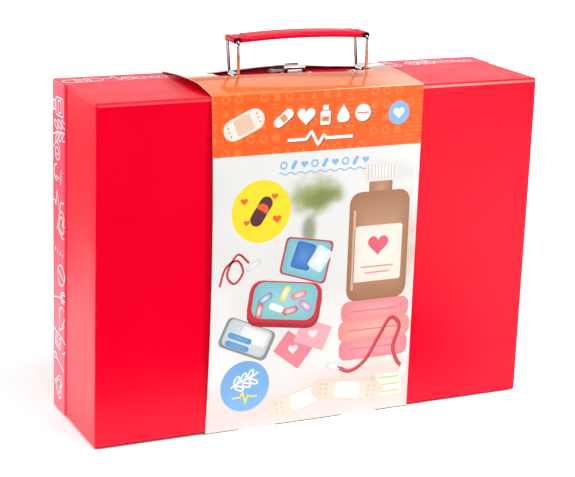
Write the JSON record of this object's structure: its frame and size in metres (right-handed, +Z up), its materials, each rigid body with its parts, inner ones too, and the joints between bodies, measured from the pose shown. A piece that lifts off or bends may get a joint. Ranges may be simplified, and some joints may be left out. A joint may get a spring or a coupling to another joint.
{
  "type": "toy doctor case",
  "caption": "Red cardboard toy doctor case with a wire carrying handle, a small lever clasp, a cloth-hinged lid and a printed orange card sleeve round its middle.",
  "frame": {"origin": "on the surface that the case stands on, under the middle of its outer box", "axes": "+X to the right of someone facing the printed front, +Y from the front to the lid at the back, +Z up"},
  "size_m": [0.308, 0.0848, 0.2515],
  "materials": {
    "red_paper_board": "red printed paper on grey board, with a satin laminate",
    "teal_paper_board": "light teal printed paper on board, matte",
    "hinge_cloth": "red book cloth, matte",
    "plated_steel": "bright nickel-plated steel",
    "zinc_washer": "zinc-plated steel, dull",
    "red_plastic": "moulded red plastic, glossy",
    "orange_card": "orange printed card with a glossy varnish"
  },
  "bodies": {
    "base": {"base_shell": "red_paper_board", "base_neck": "teal_paper_board", "base_lining_sheet": "teal_paper_board", "hinge_cloth_base_flap": "hinge_cloth", "handle_bracket_left": "plated_steel", "handle_bracket_right": "plated_steel", "bracket_rivet_1": "plated_steel", "bracket_rivet_2": "plated_steel", "bracket_rivet_3": "plated_steel", "bracket_rivet_4": "plated_steel", "bracket_washer_1": "zinc_washer", "bracket_washer_2": "zinc_washer", "bracket_washer_3": "zinc_washer", "bracket_washer_4": "zinc_washer", "clasp_plate": "plated_steel", "clasp_pin": "plated_steel", "clasp_rivet_1": "plated_steel", "clasp_rivet_2": "plated_steel", "clasp_washer_1": "zinc_washer", "clasp_washer_2": "zinc_washer"},
    "lid": {"lid_shell": "red_paper_board", "lid_lining_sheet": "teal_paper_board", "hinge_cloth_lid_flap": "hinge_cloth", "keeper_plate": "plated_steel", "keeper_rivet_1": "plated_steel", "keeper_rivet_2": "plated_steel", "keeper_washer_1": "zinc_washer", "keeper_washer_2": "zinc_washer"},
    "clasp_lever": {"clasp_lever": "plated_steel"},
    "handle_left_stirrup": {"stirrup_left": "plated_steel"},
    "handle_grip": {"grip": "red_plastic"},
    "handle_right_stirrup": {"stirrup_right": "plated_steel"},
    "sleeve_front_half": {"sleeve_front_panel": "orange_card", "sleeve_top": "orange_card", "sleeve_underside": "orange_card"},
    "sleeve_back_half": {"sleeve_back": "orange_card"}
  },
  "joints": [
    {"name": "lid_hinge", "type": "hinge", "parent": "base", "child": "lid", "pos_m": [0, 0.017, 0.0008], "axis": [-1, 0, 0], "range_deg": [0, 105]},
    {"name": "clasp_lift", "type": "hinge", "parent": "base", "child": "clasp_lever", "pos_m": [0.0005, 0.0113, 0.225], "axis": [1, 0, 0], "range_deg": [0, 100]},
    {"name": "handle_tilt", "type": "hinge", "parent": "base", "child": "handle_left_stirrup", "pos_m": [-0.044, 0.0075, 0.2236], "axis": [0, 1, 0], "range_deg": [-62, 33]},
    {"name": "grip_level", "type": "hinge", "parent": "handle_left_stirrup", "child": "handle_grip", "pos_m": [-0.04521, 0.0075, 0.24677], "axis": [0, 1, 0], "range_deg": [-33, 62]},
    {"name": "handle_follow", "type": "hinge", "parent": "base", "child": "handle_right_stirrup", "pos_m": [0.048, 0.0075, 0.2236], "axis": [0, 1, 0], "range_deg": [-62, 33]},
    {"name": "sleeve_front_off", "type": "slide", "parent": "base", "child": "sleeve_front_half", "axis": [0, -1, 0], "range_m": [0, 0.08]},
    {"name": "sleeve_back_off", "type": "slide", "parent": "lid", "child": "sleeve_back_half", "axis": [0, 1, 0], "range_m": [0, 0.05]}
  ],
  "couplings": [
    {"joint": "grip_level", "follows": "handle_tilt", "ratio": -1},
    {"joint": "handle_follow", "follows": "handle_tilt", "ratio": 1}
  ]
}
